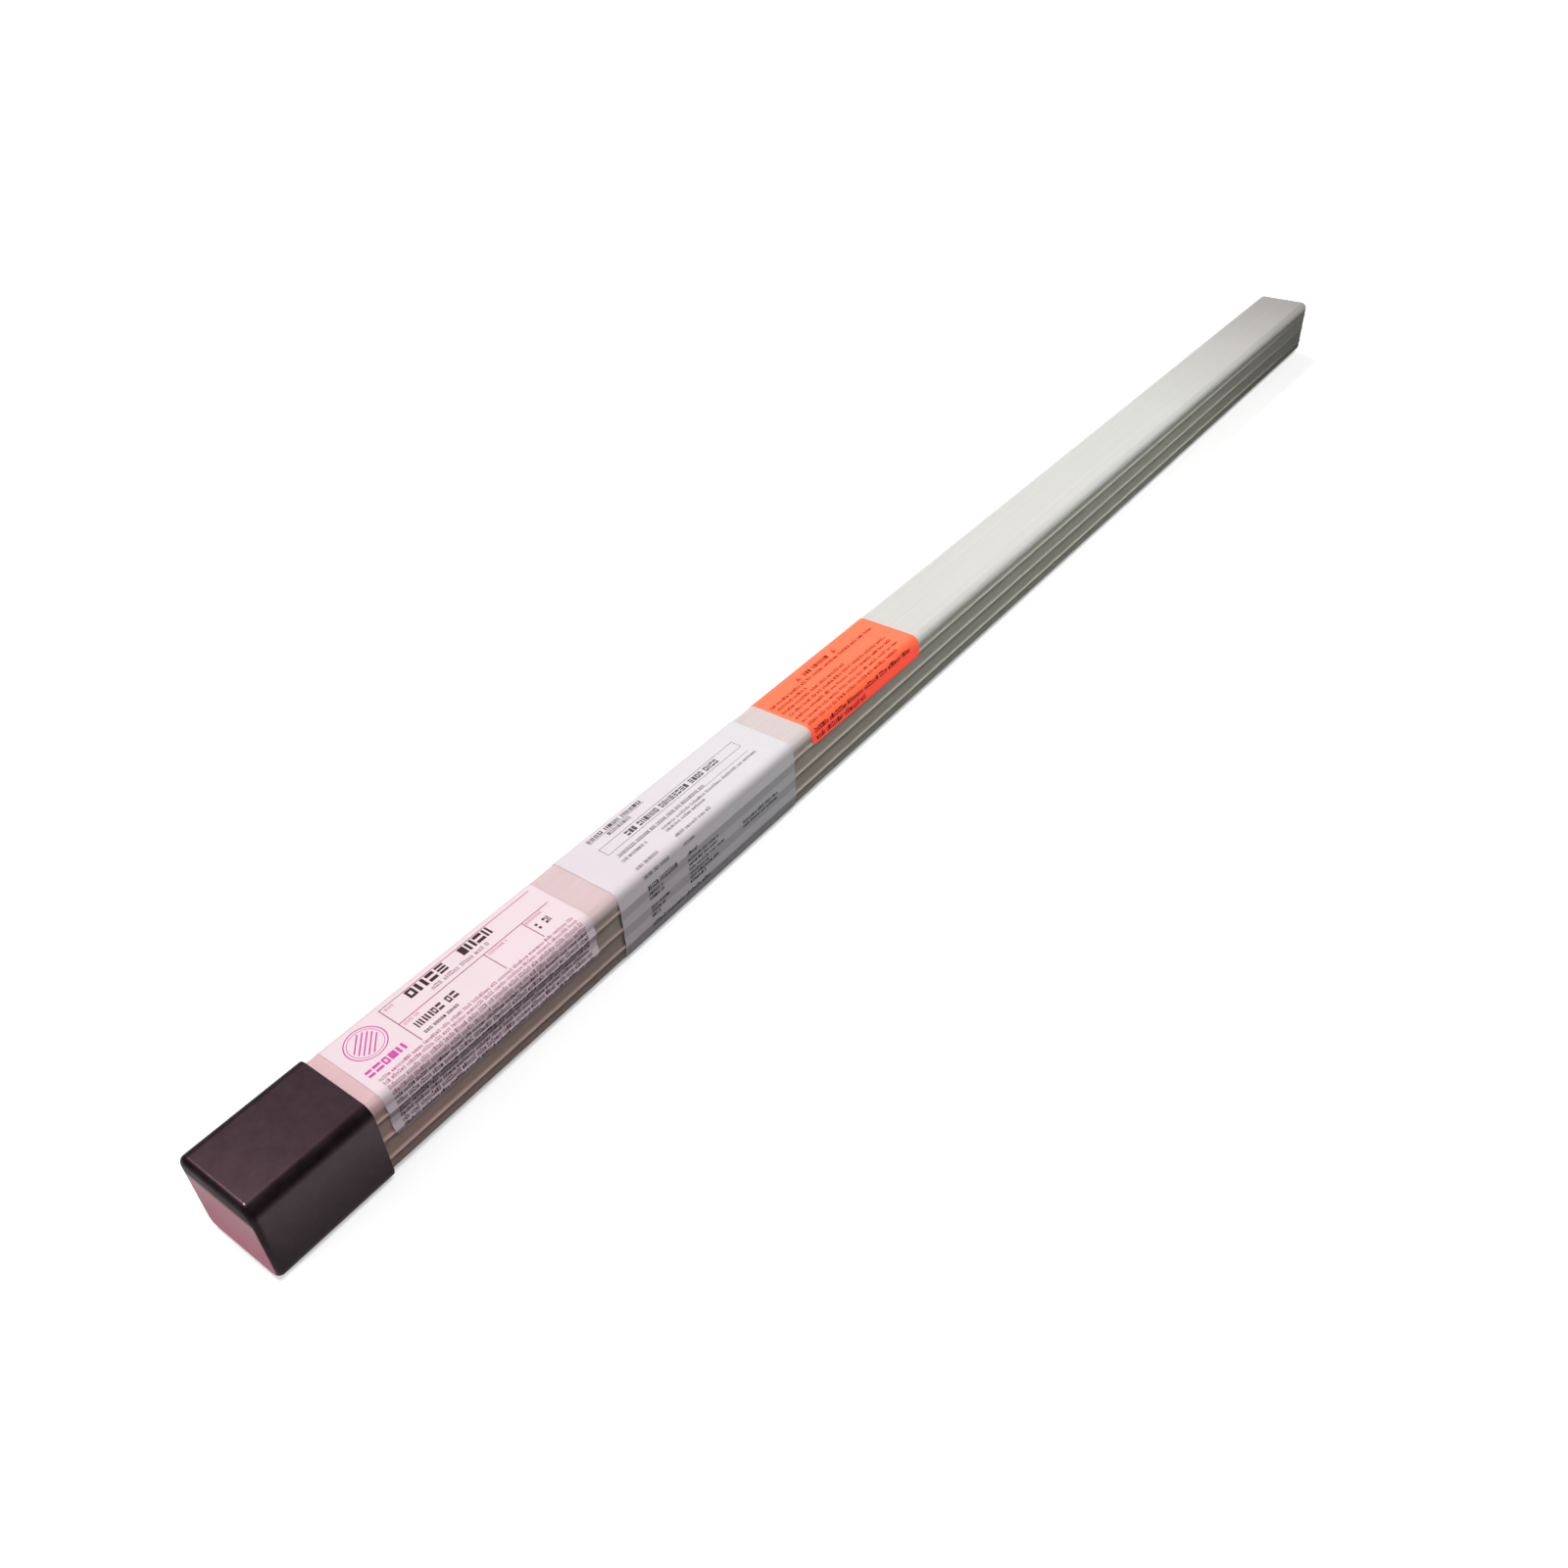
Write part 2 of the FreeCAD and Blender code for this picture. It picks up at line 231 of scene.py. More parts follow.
def bump(material, shader, height, depth, after=None):
    """Relief of that depth in metres; after chains it onto an earlier one."""
    made = node(material, "ShaderNodeBump", Strength=1.0, Distance=depth)
    link(material, height, made.inputs["Height"])
    if after is not None:
        link(material, after.outputs["Normal"], made.inputs["Normal"])
    link(material, made.outputs["Normal"], shader.inputs["Normal"])
    return made


def tube_plastic():
    """Pale extruded plastic: fine die lines along it, faint clouding, a painted pink light cast near the cap
    and painted shade far off. The round edges carry a painted highlight, the flat sides painted shade, and
    the rib crests painted light."""
    material, shader = blank("tube_plastic")
    along = spread(material, place_along(material, "X"), NOSE, FAR_END)
    streaks = noise(material, 1.1 * MM, stretch=(160, 1, 1), detail=4.0)
    clouds = noise(material, 18 * MM, stretch=(3, 1, 1))
    streaked = mix(material, grey_ramp(material, streaks, ((0.3, 0), (0.7, 1))), grey(0.955), grey(1.02))
    clouded = mix(material, clouds, grey(0.965), grey(1.02))
    # Painted highlight along the round edges, brighter far off
    edge = grey_ramp(material, below_top(material, EDGE_BAND), EDGE_HIGHLIGHT_LEVELS)
    glow = mix(material, edge, grey(1), mix(material, along, EDGE_HIGHLIGHT_NEAR, EDGE_HIGHLIGHT_FAR))
    # Painted shade on the flat sides, lighter on the rib crests where they catch the light, deeper far off
    outward = operate(material, "ABSOLUTE", place_along(material, "Y"))
    side = mix(material, spread(material, outward, *CREST_FROM), SIDE_SHADE_GREY, CREST_PAINTED_LIGHT)
    side = multiply(material, side, grey_ramp(material, along, SIDE_PAINTED_SHADE))
    side = mix(material, below_top(material, SIDE_SHADE_FROM), grey(1), side)
    # The tube's colour along it holds a painted pink light cast near the cap and painted shade towards the
    # far end
    body = ramp(material, along, TUBE_TONES_WITH_PAINTED_LIGHT)
    paint(material, shader, multiply(material, streaked, clouded, glow, side, body))
    roughen(material, shader, clouds, -1.2, 2.6)
    lines = bump(material, shader, streaks, 0.02 * MM)
    bump(material, shader, noise(material, 6 * MM, stretch=(6, 1, 1)), 0.04 * MM, after=lines)
    set_inputs(shader, Subsurface_Weight=0.6, Subsurface_Radius=(1.0, 0.95, 0.88), Subsurface_Scale=2.6 * MM)
    return material


def cap_vinyl():
    """Soft black vinyl with a maroon cast, faint scuffs on its faces, and a painted pink reflection on its
    end face.
    """
    material, shader = blank("cap_vinyl")
    mottle = noise(material, 5 * MM, detail=5.0)
    dark = mix(material, grey_ramp(material, mottle, ((0.35, 0), (0.72, 1))), CAP_BLACK, CAP_WORN)
    height = spread(material, place_along(material, "Z"), 0.0, TUBE_TOP)
    # Painted pink reflection on the nose face, fading out towards its top
    nose_reflection = ramp(material, height, ((0.25, NOSE_REFLECTION_PINK), (0.80, NOSE_REFLECTION_PALE)))
    nose_reflection = mix(material, mottle, nose_reflection, mix(material, 0.10, nose_reflection, grey(0.25)))
    nose_reflection = mix(material, below_top(material, NOSE_REFLECTION_FROM), nose_reflection, dark)
    ahead = spread(material, place_along(material, "X", "Normal"), 0.0, -1.0)
    on_nose = multiply(material, grey_ramp(material, ahead, ((0.90, 0), (0.985, 1))),
                       spread(material, place_along(material, "X"), *NOSE_REFLECTION_DEPTH))
    paint(material, shader, mix(material, on_nose, dark, nose_reflection))
    scuffs = noise(material, 2.2 * MM, detail=5.0, roughness=0.6)
    link(material, grey_ramp(material, scuffs, ((0.35, 0.35), (0.75, 0.42))), shader.inputs["Roughness"])
    bump(material, shader, noise(material, 9 * MM), 0.05 * MM)
    set_inputs(shader, Specular_Tint=CAP_SHEEN, Coat_Weight=0.24, Coat_Roughness=0.13)
    return material


def paper(name, tint, shade, roughness, fibre_depth, side_painted_light, **sockets):
    """Printed paper stock: fine fibres, soft clouding, a little waviness, and painted pink light near the cap
    that turns cooler farther off. The side tone is painted light or shade where the paper is stretched down
    the tube's side."""
    material, shader = blank(name)
    fibres = noise(material, 0.35 * MM, stretch=(3, 1, 1), detail=4.0)
    clouds = noise(material, 14 * MM)
    speckled = mix(material, grey_ramp(material, fibres, ((0.3, 0), (0.8, 1))), shade, tint)
    clouded = mix(material, clouds, grey(0.955), grey(1.02))
    # Painted light or shade where the paper hangs down the tube's side
    down = mix(material, below_top(material, PAPER_SIDE_LIGHT_FROM), grey(1), side_painted_light)
    # Painted pink light near the cap, turning cooler farther off
    cool = spread(material, place_along(material, "X"), *COOL_LIGHT_FROM)
    cast = mix(material, cool, PAPER_PINK_LIGHT, PAPER_COOL_LIGHT)
    paint(material, shader, multiply(material, speckled, clouded, down, cast))
    roughen(material, shader, fibres, *roughness)
    grain = bump(material, shader, fibres, fibre_depth)
    bump(material, shader, noise(material, 11 * MM, stretch=(1.6, 1, 1)), 0.10 * MM, after=grain)
    set_inputs(shader, **sockets)
    return material


def label_paper():
    return paper("label_paper", tint=(0.87, 0.745, 0.775, 1), shade=(0.82, 0.685, 0.72, 1),
                 roughness=(-1.4, 2.4), fibre_depth=0.006 * MM, side_painted_light=(1.12, 1.12, 1.17, 1),
                 Coat_Weight=0.12, Coat_Roughness=0.25)


def wrap_paper():
    return paper("wrap_paper", tint=(0.795, 0.725, 0.767, 1), shade=(0.745, 0.678, 0.718, 1),
                 roughness=(-3.5, 1.6), fibre_depth=0.010 * MM, side_painted_light=(1.12, 1.15, 1.15, 1),
                 Specular_IOR_Level=0.35)


def orange_paper():
    """Fluorescent stock: it gives back more red than it gets, painted as a red glow that shines even without
    light.
    """
    return paper("orange_paper", tint=(0.74, 0.200, 0.090, 1), shade=(0.70, 0.174, 0.076, 1),
                 roughness=(-1.6, 2.4), fibre_depth=0.006 * MM, side_painted_light=(1.0, 0.56, 0.50, 1),
                 Specular_IOR_Level=0.2, Coat_Weight=0.5, Coat_Roughness=0.28,
                 Emission_Color=(1.0, 0.014, 0.004, 1), Emission_Strength=0.60)


def rod_steel():
    """Drawn bright wire: fine lines along it and a thin dull film here and there."""
    material, shader = blank("rod_steel")
    lines = noise(material, 0.12 * MM, stretch=(300, 1, 1), detail=3.0)
    film = noise(material, 7 * MM, stretch=(5, 1, 1), detail=4.0)
    steel = mix(material, lines, STEEL_DARK, STEEL_BRIGHT)
    filmed = grey_ramp(material, film, ((0.5, 0), (0.8, 0.6)))
    paint(material, shader, mix(material, filmed, steel, STEEL_FILM))
    roughen(material, shader, film, -0.8, 1.9)
    bump(material, shader, lines, 0.004 * MM)
    set_inputs(shader, Metallic=1.0)
    return material


def ink(name, colour, wear):
    """Printed ink: a little uneven, and thinner where the paper's grain takes less of it."""
    material, shader = blank(name)
    patchy = noise(material, 0.5 * MM, detail=3.0)
    thin = tuple(c + wear * (1 - c) for c in colour[:3]) + (1,)
    paint(material, shader, mix(material, grey_ramp(material, patchy, ((0.38, 0), (0.78, 1))), colour, thin))
    roughen(material, shader, patchy, -1.4, 1.6)
    bump(material, shader, patchy, 0.003 * MM)
    set_inputs(shader, Specular_IOR_Level=0.2)
    return material


def dress_solids():
    """Each CAD node gets its finish."""
    plastic, steel = tube_plastic(), rod_steel()
    finishes = {
        "tube": plastic,
        "end_plug": plastic,
        "end_cap": cap_vinyl(),
        "front_label": label_paper(),
        "paper_wrap": wrap_paper(),
        "orange_sticker": orange_paper(),
    }
    for name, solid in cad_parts.items():
        solid.data.materials.clear()
        solid.data.materials.append(finishes.get(name, steel))


class Sheet:
    """The outer face of one paper. A place on it is x, from the cap's rim, and s, the run from the
    top's middle line over the front edge and straight down the side. Both are in millimetres."""

    def __init__(self, knots):
        self.s, self.y, self.z = (np.array(column) for column in zip(*knots))
        dy, dz = np.gradient(self.y), np.gradient(self.z)
        length = np.hypot(dy, dz)
        self.out_y, self.out_z = dz / length, -dy / length

    def point(self, x, s, lift):
        s = s * MM
        y = np.interp(s, self.s, self.y) + lift * np.interp(s, self.s, self.out_y)
        z = np.interp(s, self.s, self.z) + lift * np.interp(s, self.s, self.out_z)
        return CAP_RIM + x * MM, float(y), float(z)

    def bends(self, low, high):
        """The places between low and high where the face turns."""
        return [float(s) / MM for s in self.s if low + 0.01 < s / MM < high - 0.01]


def corner_knots(lift, last_turn):
    """The flat top and the rounded front edge, up to a turn from the vertical."""
    knots = [(s * TOP_FLAT, -s * TOP_FLAT, TUBE_TOP + lift) for s in (-1, 0)]
    radius = CORNER_RADIUS + lift
    for step in range(CORNER_STEPS + 1):
        turn = last_turn * step / CORNER_STEPS
        s = TOP_FLAT + CORNER_RUN * turn / (math.pi / 2)
        knots.append((s, -TOP_FLAT - radius * math.sin(turn), CORNER_Z + radius * math.cos(turn)))
    return knots


def side_knots(points):
    """Points (bulge from the tube's wall, z) down the front side."""
    return [(SIDE_START + CORNER_Z - z, -TUBE_WIDTH / 2 - bulge, z) for bulge, z in points]


def sticker_sheet():
    points = []
    for rib in RIBS_Z[:2]:
        points += [(STICKER_LIFT, rib + STICKER_REACH), (STICKER_LIFT + STICKER_CREST, rib),
                   (STICKER_LIFT, rib - STICKER_REACH)]
    return Sheet(corner_knots(STICKER_LIFT, math.pi / 2) + side_knots(points))


def wrap_sheet():
    crest = WRAP_LIFT + RIB_HEIGHT
    points = [(crest, RIBS_Z[0])]
    for rib in RIBS_Z[1:]:
        points += [(crest - WRAP_SAG, rib + RIB_PITCH / 2), (crest, rib)]
    points.append((WRAP_LIFT, TUBE_BOTTOM + CORNER_RADIUS))
    return Sheet(corner_knots(WRAP_LIFT, WRAP_LEAVE) + side_knots(points))


# The marks of a printed row, as (left, right, top, low) parts of their own small field
MARKS = (
    ((0.0, 1.0, 0.0, 1.0),),
    ((0.0, 0.34, 0.0, 1.0), (0.66, 1.0, 0.0, 1.0)),
    ((0.0, 1.0, 0.0, 0.36), (0.0, 1.0, 0.64, 1.0)),
    ((0.0, 1.0, 0.0, 0.24), (0.0, 1.0, 0.38, 0.62), (0.0, 1.0, 0.76, 1.0)),
    ((0.0, 0.30, 0.0, 1.0), (0.70, 1.0, 0.0, 1.0), (0.30, 0.70, 0.0, 0.26), (0.30, 0.70, 0.74, 1.0)),
)

# A printed row: how many marks make a word, their width as shares of the letter's, the share of tall ones,
# how far low ones rise over the row's middle, and the gaps after a mark and after a word
WORD_LENGTH = (3, 9)
MARK_WIDTH = (0.62, 0.98)
TALL_SHARE = 0.35
LOW_RISE = 0.24
MARK_GAP = 0.18
WORD_GAP = 0.6


class Print:
    """Ink on one sheet, gathered as thin closed ribbons and made into one mesh."""

    def __init__(self, sheet, seed):
        self.sheet = sheet
        self.random = random.Random(seed)
        self.points = []
        self.faces = []

    def ribbon(self, path, half_width, closed=False):
        """A strip of ink along a path of (x, s) places."""
        start = len(self.points)
        count = len(path)
        for i, (x, s) in enumerate(path):
            before = path[i - 1] if closed or i > 0 else path[i]
            after = path[(i + 1) % count] if closed or i < count - 1 else path[i]
            dx, ds = after[0] - before[0], after[1] - before[1]
            length = math.hypot(dx, ds)
            out_x, out_s = -ds / length * half_width, dx / length * half_width
            for side, lift in ((1, INK_OVER), (-1, INK_OVER), (-1, INK_UNDER), (1, INK_UNDER)):
                self.points.append(self.sheet.point(x + side * out_x, s + side * out_s, lift))
        for i in range(count if closed else count - 1):
            a, b = start + 4 * i, start + 4 * ((i + 1) % count)
            for k in range(4):
                n = (k + 1) % 4
                self.faces.append((a + k, a + n, b + n, b + k))
        if not closed:
            last = start + 4 * (count - 1)
            self.faces.append((start + 3, start + 2, start + 1, start))
            self.faces.append((last, last + 1, last + 2, last + 3))

    def bar(self, x0, x1, s0, s1):
        """A filled rectangle, split wherever the paper turns."""
        middle = (x0 + x1) / 2
        stops = [s0] + self.sheet.bends(s0, s1) + [s1]
        self.ribbon([(middle, s) for s in stops], (x1 - x0) / 2)

    def mark(self, x, s, width, height):
        """One small printed mark: a plain block, an open box, two uprights, or two or three levels."""
        for left, right, top, low in self.random.choice(MARKS):
            self.bar(x + left * width, x + right * width, s + top * height, s + low * height)

    def row(self, x0, x1, middle, height, letter, capitals=False):
        """A line of marks in word-like groups, from x0 to x1, about the run s = middle."""
        x = x0
        while x < x1 - letter / 2:
            for _ in range(self.random.randint(*WORD_LENGTH)):
                width = letter * self.random.uniform(*MARK_WIDTH)
                if x + width > x1:
                    break
                tall = capitals or self.random.random() < TALL_SHARE
                top = middle - height / 2 if tall else middle - height * LOW_RISE
                self.mark(x, top, width, middle + height / 2 - top)
                x += width + letter * MARK_GAP
            x += letter * WORD_GAP

    def finish(self, name, material):
        """The gathered ink becomes one piece on the tube's body."""
        mesh = bpy.data.meshes.new(name)
        mesh.from_pydata(self.points, [], self.faces)
        mesh.update()
        piece = bpy.data.objects.new(name, mesh)
        bpy.context.scene.collection.objects.link(piece)
        piece.data.materials.append(material)
        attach(piece, "tube_body")


# The front label's rows of small text, and its emblem: the middle as (x, s), the rings' radius and half
# width, and the slanted bars' pitch, reach and half width
TEXT_START = 11.6
TEXT_PITCH = 2.26
EMBLEM_X, EMBLEM_S = 17.6, -5.2
EMBLEM_RINGS = ((7.6, 0.22), (6.5, 0.12))
SLANT_PITCH = 1.7
SLANT_REACH = 5.6
SLANT_WIDTH = 0.28
SLANT = 0.7071


def print_front_label(sheet, inks):
    """The pink label's form: rules and cells, a heading, a number row, an emblem and small text."""
    rules = Print(sheet, 11)
    rules.bar(29.8, 103.8, -13.05, -12.7)
    rules.bar(29.8, 103.6, -2.4, -2.0)
    for x, top in ((29.8, -13.05), (70.1, -2.2), (89.5, -2.2)):
        rules.bar(x - 0.2, x + 0.2, top, 10.0)
    rules.finish("label_rules", inks["maroon_rule"])

    heading = Print(sheet, 12)
    heading.row(40.5, 62.8, -10.1, 4.5, 4.9, capitals=True)
    heading.row(65.8, 83.6, -10.1, 4.5, 3.9, capitals=True)
    heading.finish("label_heading", inks["maroon_black"])

    numbers = Print(sheet, 13)
    numbers.row(32.9, 53.7, 3.3, 3.4, 2.5, capitals=True)
    numbers.row(32.6, 49.4, 8.15, 1.3, 1.05, capitals=True)
    numbers.row(91.6, 93.4, 4.1, 3.5, 1.6, capitals=True)
    numbers.row(95.2, 99.0, 4.1, 3.5, 1.6, capitals=True)
    numbers.finish("label_number_row", inks["maroon_dark"])

    faint = Print(sheet, 14)
    faint.row(47.9, 75.5, -5.4, 1.9, 1.5)
    faint.finish("label_subheading", inks["mauve"])

    captions = Print(sheet, 15)
    for x0, x1, s in ((31.2, 36.2, -11.3), (30.9, 38.0, -0.7), (71.2, 80.9, -0.7), (90.1, 99.4, -0.7)):
        captions.row(x0, x1, s, 1.3, 1.1, capitals=True)
    captions.finish("label_captions", inks["pale_pink"])

    small = Print(sheet, 16)
    for i in range(4):
        small.row(9.6, 103.4, TEXT_START + TEXT_PITCH * i, 1.55, 0.95)
    small.finish("label_small_text", inks["maroon_small"])

    low = Print(sheet, 18)
    for i in range(4, 11):
        low.row(9.6, 103.4, TEXT_START + TEXT_PITCH * i, 1.65, 0.98)
    low.finish("label_side_text", inks["maroon_low"])

    emblem = Print(sheet, 17)
    emblem.row(8.6, 26.9, 6.6, 3.4, 3.3, capitals=True)
    ring = [(math.cos(math.radians(a)), math.sin(math.radians(a))) for a in range(0, 360, 6)]
    for radius, half_width in EMBLEM_RINGS:
        circle = [(EMBLEM_X + radius * x, EMBLEM_S + radius * s) for x, s in ring]
        emblem.ribbon(circle, half_width, closed=True)
    for i in range(-2, 3):
        across = SLANT_PITCH * i * SLANT
        along = math.sqrt(SLANT_REACH ** 2 - (SLANT_PITCH * i) ** 2) * SLANT
        start = (EMBLEM_X + across - along, EMBLEM_S + across + along)
        end = (EMBLEM_X + across + along, EMBLEM_S + across - along)
        emblem.ribbon([start, end], SLANT_WIDTH)
    emblem.finish("label_emblem", inks["magenta"])


def print_paper_wrap(sheet, inks):
    """The white sheet's page: a heading, a framed title and a form in two or three columns."""
    bold = Print(sheet, 21)
    bold.row(136.8, 169.4, -13.0, 2.3, 2.2, capitals=True)
    bold.bar(136.8, 169.6, -11.35, -11.1)
    bold.row(149.8, 209.8, -3.3, 2.9, 2.3, capitals=True)
    bold.row(136.8, 155.0, 24.4, 2.0, 1.6, capitals=True)
    bold.bar(136.8, 155.0, 25.65, 25.85)
    bold.row(136.9, 174.8, 44.0, 1.9, 1.4)
    bold.finish("wrap_headings", inks["grey_dark"])

    rules = Print(sheet, 22)
    left, right, top, low, line = 136.3, 222.3, -6.1, -0.5, 0.26
    rules.bar(left, right, top, top + line)
    rules.bar(left, right, low - line, low)
    rules.bar(left, left + line, top + line, low - line)
    rules.bar(right - line, right, top + line, low - line)
    rules.bar(137.3, 221.5, 3.75, 3.95)
    rules.bar(136.9, 221.5, 45.3, 45.5)
    rules.finish("wrap_rules", inks["grey_rule"])

    small = Print(sheet, 23)
    small.row(145.7, 159.2, -9.5, 1.9, 1.6, capitals=True)
    small.row(138.3, 192.3, 2.9, 1.5, 1.2, capitals=True)
    rows = ((6.6, 136.6, 151.9), (6.6, 160.4, 223.2), (9.0, 160.4, 185.3), (14.1, 136.2, 149.4),
            (14.1, 160.1, 182.8), (19.0, 136.2, 151.6), (19.0, 160.3, 167.3))
    for s, x0, x1 in rows:
        small.row(x0, x1, s, 1.5, 1.1, capitals=x0 < 140)
    small.finish("wrap_top_text", inks["grey_small"])

    side = Print(sheet, 24)
    rows = ((24.4, 161.2, 168.1), (28.0, 137.1, 145.6), (28.0, 161.2, 180.6), (30.4, 137.1, 146.4),
            (30.4, 161.4, 180.6), (32.8, 161.2, 184.3), (32.8, 197.0, 222.7), (35.1, 137.1, 149.1),
            (35.1, 161.2, 173.5), (35.1, 197.0, 221.3), (37.4, 137.1, 146.1), (37.4, 161.2, 179.9),
            (39.7, 137.1, 142.7), (39.7, 161.2, 171.6), (46.9, 137.3, 222.0))
    for s, x0, x1 in rows:
        side.row(x0, x1, s, 1.5, 1.05, capitals=x0 < 140)
    side.finish("wrap_side_text", inks["grey_black"])


def print_orange_sticker(sheet, inks):
    """The orange sticker's rows: a heading, seven rows of text and two bold rows on the side."""
    heading = Print(sheet, 31)
    heading.row(282.0, 302.8, -10.0, 2.4, 2.2, capitals=True)
    for x0 in (276.0, 304.8):
        heading.bar(x0, x0 + 3.4, -9.1, -8.7)
        heading.bar(x0 + 0.6, x0 + 2.8, -10.1, -9.4)
        heading.bar(x0 + 1.2, x0 + 2.2, -11.2, -10.4)
    heading.finish("orange_heading", inks["red_dark"])

    small = Print(sheet, 32)
    rows = ((-6.3, 251.4, 334.0), (-3.0, 252.4, 275.2), (0.3, 251.6, 301.0), (3.8, 252.0, 331.6),
            (7.4, 252.0, 330.2), (11.1, 251.6, 330.6), (14.6, 251.6, 325.6))
    for s, x0, x1 in rows:
        small.row(x0, x1, s, 1.8, 1.25)
    small.finish("orange_text", inks["red_brown"])

    bold = Print(sheet, 33)
    bold.row(252.4, 332.3, 19.0, 2.3, 1.5)
    bold.row(252.7, 292.3, 22.8, 2.3, 1.5)
    bold.finish("orange_side_text", inks["red_deep"])


def print_papers():
    inks = {
        "maroon_rule": ink("ink_maroon_rule", (0.40, 0.10, 0.17, 1), 0.08),
        "maroon_black": ink("ink_maroon_black", (0.040, 0.010, 0.016, 1), 0.05),
        "maroon_dark": ink("ink_maroon_dark", (0.085, 0.030, 0.042, 1), 0.06),
        "maroon_small": ink("ink_maroon_small", (0.46, 0.20, 0.29, 1), 0.12),
        "maroon_low": ink("ink_maroon_low", (0.165, 0.065, 0.090, 1), 0.06),
        "mauve": ink("ink_mauve", (0.38, 0.24, 0.30, 1), 0.12),
        "pale_pink": ink("ink_pale_pink", (0.66, 0.32, 0.44, 1), 0.14),
        "magenta": ink("ink_magenta", (0.62, 0.055, 0.36, 1), 0.10),
        "grey_dark": ink("ink_grey_dark", (0.085, 0.07, 0.08, 1), 0.08),
        "grey_rule": ink("ink_grey_rule", (0.16, 0.14, 0.155, 1), 0.12),
        "grey_small": ink("ink_grey_small", (0.22, 0.19, 0.215, 1), 0.12),
        "grey_black": ink("ink_grey_black", (0.045, 0.04, 0.045, 1), 0.06),
        "red_dark": ink("ink_red_dark", (0.36, 0.012, 0.006, 1), 0.02),
        "red_brown": ink("ink_red_brown", (0.40, 0.022, 0.010, 1), 0.02),
        "red_deep": ink("ink_red_deep", (0.22, 0.006, 0.004, 1), 0.01),
    }
    sticker = sticker_sheet()
    print_front_label(sticker, inks)
    print_paper_wrap(wrap_sheet(), inks)
    print_orange_sticker(sticker, inks)


# The photograph's camera: its place, and the directions of its right, down and forward axes
CAMERA_PLACE = Vector((-0.54264, -0.29802, 0.38149))
CAMERA_RIGHT = Vector((0.5922836, -0.8045734, -0.0431481))
CAMERA_DOWN = Vector((-0.5240337, -0.3439811, -0.7791442))
CAMERA_FORWARD = Vector((0.6120366, 0.4840854, -0.6253580))
CAMERA_LENS = 30.09
CAMERA_SENSOR = 36.0
# The photograph's centre lies half of one of its 1600 pixels from the lens's own
HALF_PIXEL = 0.5 / 1600

FLOOR_SIZE = 14.0
FLOOR_WHITE = 0.85
FLOOR_INDIRECT = 0.05
# What mirrors see of the floor, as places where it changes and the level there: it darkens towards the front,
# has a painted shadow along the object's front side, and is dark before the nose
FRONT_EDGE, FRONT_LEVEL = (-0.20, -0.06), 0.15
MIRRORED_SHADOW_EDGE, MIRRORED_SHADOW_LEVEL = (-0.038, -0.026), 0.55
NOSE_EDGE, NOSE_LEVEL = (-0.475, -0.455), 0.22
# The floor's own glow, as levels at shares of GLOW_REACH from the middle. Mirrors see it towards +X only
GLOW_REACH = 3.0
GLOW_LEVELS = ((0.0, 0.40), (0.14, 0.45), (0.36, 1.0))
MIRRORED_LEVELS = ((0.17, 0.0), (0.40, 1.0))
MIRRORED_FROM = (-0.4, -0.1)

SKY_LEVEL = 0.08
DARK_GLOSS = 0.03
# The pale panel that mirrors see: its direction, and the cosines at its outer and inner edge
PANEL_DIRECTION = (0.75, 0.42, 0.50)
PANEL_EDGE = (0.78, 0.97)
# The white sweep ends at this height of the direction, and curves up only beyond the far end, towards +X
SWEEP_HEIGHT = (0.03, 0.12)
SWEEP_SIDE = (0.30, 0.60)

# Each lamp's name, place, target, size and watts, and whether mirrors see it
LAMPS = (
    ("front_softbox", (0.0, -0.27, 0.80), (0.0, 0.0, 0.02), (0.9, 0.25), 5.4, False),
    ("key_lamp", (-0.50, 0.52, 1.00), (-0.30, 0.0, 0.02), (0.15, 0.15), 5.8, True),
    ("nose_softbox", (-1.40, 0.0, 0.20), (-0.46, 0.0, 0.02), (0.4, 0.4), 5.8, False),
    ("back_softbox", (0.80, 0.90, 0.40), (0.15, 0.0, 0.02), (0.6, 0.4), 4.0, False),
)


def make_camera():
    data = bpy.data.cameras.new("camera")
    data.lens = CAMERA_LENS
    data.sensor_width = CAMERA_SENSOR
    data.sensor_fit = "HORIZONTAL"
    data.shift_x = -HALF_PIXEL
    data.shift_y = HALF_PIXEL
    data.clip_start = 0.01
    data.clip_end = 100
    camera = bpy.data.objects.new("camera", data)
    turn = Matrix((CAMERA_RIGHT, -CAMERA_DOWN, -CAMERA_FORWARD)).transposed()
    camera.matrix_world = Matrix.Translation(CAMERA_PLACE) @ turn.to_4x4()
    bpy.context.scene.collection.objects.link(camera)
    bpy.context.scene.camera = camera


def make_lamp(name, place, target, size, energy, in_mirrors):
    data = bpy.data.lights.new(name, "AREA")
    data.shape = "RECTANGLE"
    data.size, data.size_y = size
    data.energy = energy
    lamp = bpy.data.objects.new(name, data)
    lamp.location = place
    lamp.rotation_euler = (Vector(target) - Vector(place)).to_track_quat("-Z", "Y").to_euler()
    lamp.visible_glossy = in_mirrors
    bpy.context.scene.collection.objects.link(lamp)


def rays(material, *kinds):
    """1 for rays of any of these kinds, which are Light Path's outputs, and 0 for the others."""
    path = node(material, "ShaderNodeLightPath")
    total = path.outputs[kinds[0]]
    for kind in kinds[1:]:
        total = operate(material, "MAXIMUM", total, path.outputs[kind])
    return total


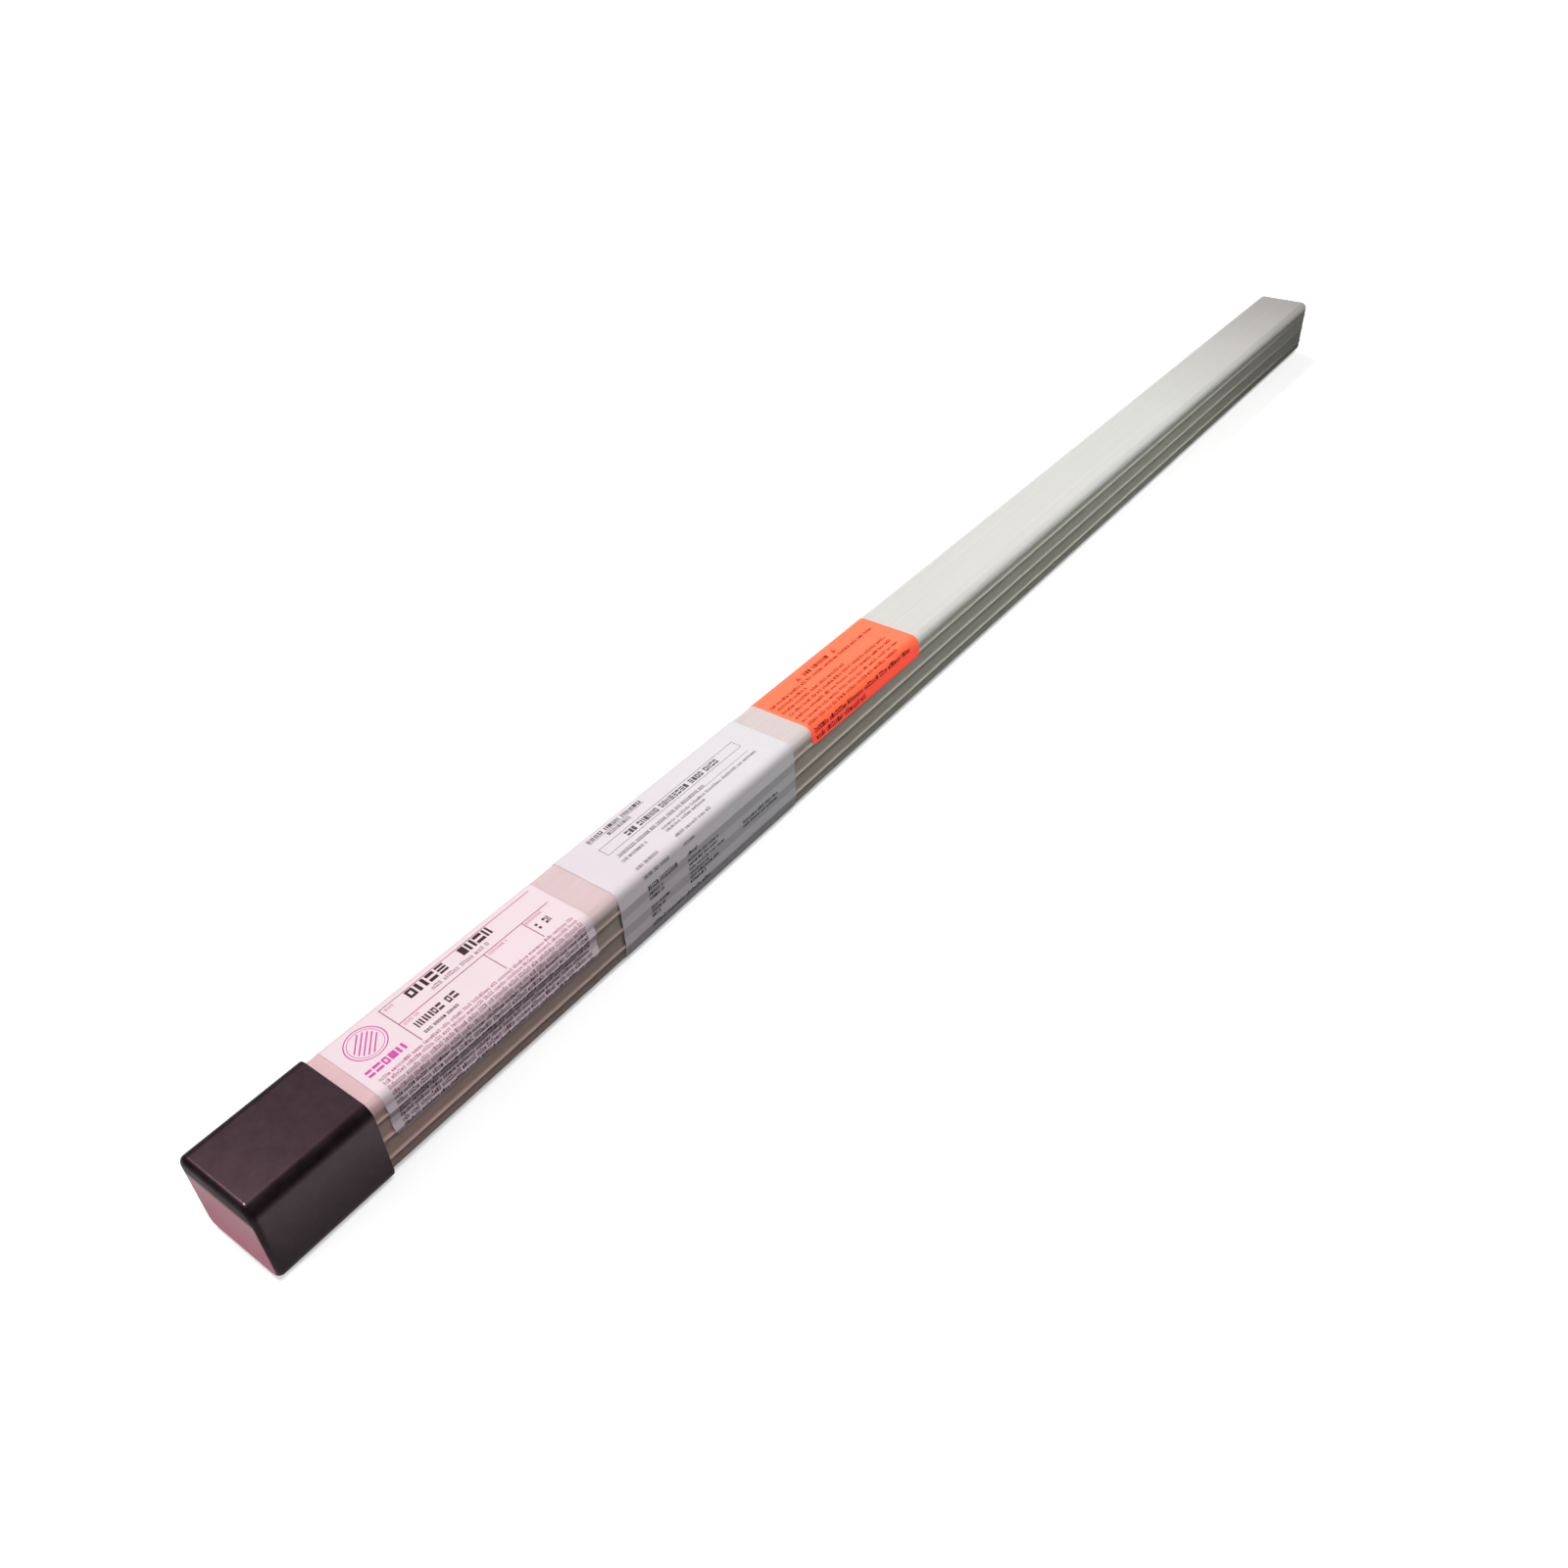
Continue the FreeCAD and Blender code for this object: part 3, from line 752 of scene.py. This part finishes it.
def floor_material():
    """White where it is seen, and dark to the other rays, so that it gives little light to the sides."""
    material, shader = blank("floor_white")
    seen = rays(material, "Is Camera Ray", "Is Glossy Ray", "Is Transmission Ray")
    in_mirrors = rays(material, "Is Glossy Ray")
    along, across = place_along(material, "X"), place_along(material, "Y")
    gloss = mix(material, spread(material, across, *FRONT_EDGE), grey(FRONT_LEVEL), grey(FLOOR_WHITE))
    # Painted shadow in the floor along the object's front side, seen only in mirrors
    gloss = mix(material, spread(material, across, *MIRRORED_SHADOW_EDGE), gloss, grey(MIRRORED_SHADOW_LEVEL))
    gloss = mix(material, spread(material, along, *NOSE_EDGE), grey(NOSE_LEVEL), gloss)
    white = mix(material, in_mirrors, grey(FLOOR_WHITE), gloss)
    paint(material, shader, mix(material, seen, grey(FLOOR_INDIRECT), white))
    where = node(material, "ShaderNodeTexCoord")
    length = node(material, "ShaderNodeVectorMath")
    length.operation = "LENGTH"
    link(material, where.outputs["Object"], length.inputs[0])
    away = spread(material, length.outputs["Value"], 0.0, GLOW_REACH)
    mirrored = multiply(material, grey_ramp(material, away, MIRRORED_LEVELS),
                        spread(material, along, *MIRRORED_FROM))
    glow = mix(material, in_mirrors, grey_ramp(material, away, GLOW_LEVELS), mirrored)
    link(material, mix(material, seen, grey(0), glow), shader.inputs["Emission Color"])
    set_inputs(shader, Roughness=0.9, Specular_IOR_Level=0.0, Emission_Strength=1.0)
    return material


def make_floor():
    """A plain floor that keeps the object's shadow."""
    half = FLOOR_SIZE / 2
    corners = [(-half, -half, 0), (half, -half, 0), (half, half, 0), (-half, half, 0)]
    mesh = bpy.data.meshes.new("floor")
    mesh.from_pydata(corners, [], [(0, 1, 2, 3)])
    floor = bpy.data.objects.new("floor", mesh)
    bpy.context.scene.collection.objects.link(floor)
    floor.data.materials.append(floor_material())


def make_world():
    """Dim plain light from all round. Camera and mirrors see the white sweep low down; higher up,
    mirrors see a dark room with one pale panel behind the object."""
    world = bpy.data.worlds.new("studio")
    world.use_nodes = True
    bpy.context.scene.world = world
    where = node(world, "ShaderNodeTexCoord")
    facing = node(world, "ShaderNodeVectorMath")
    facing.operation = "DOT_PRODUCT"
    facing.inputs[1].default_value = Vector(PANEL_DIRECTION).normalized()
    link(world, where.outputs["Generated"], facing.inputs[0])
    panel = mix(world, spread(world, facing.outputs["Value"], *PANEL_EDGE), grey(0), grey(1))
    room = mix(world, 1.0, grey(DARK_GLOSS), panel, "ADD")
    sweep = mix(world, spread(world, place_along(world, "X", "Generated"), *SWEEP_SIDE), grey(0), grey(1))
    upward = spread(world, place_along(world, "Z", "Generated"), *SWEEP_HEIGHT)
    mirrored = mix(world, upward, sweep, room)
    lit = mix(world, rays(world, "Is Glossy Ray"), grey(SKY_LEVEL), mirrored)
    white = mix(world, rays(world, "Is Camera Ray", "Is Transmission Ray"), lit, grey(1))
    link(world, white, world.node_tree.nodes["Background"].inputs["Color"])


def make_studio():
    make_camera()
    make_floor()
    make_world()
    for lamp in LAMPS:
        make_lamp(*lamp)
    view = bpy.context.scene.view_settings
    view.view_transform = "Standard"


dress_solids()
print_papers()
make_studio()
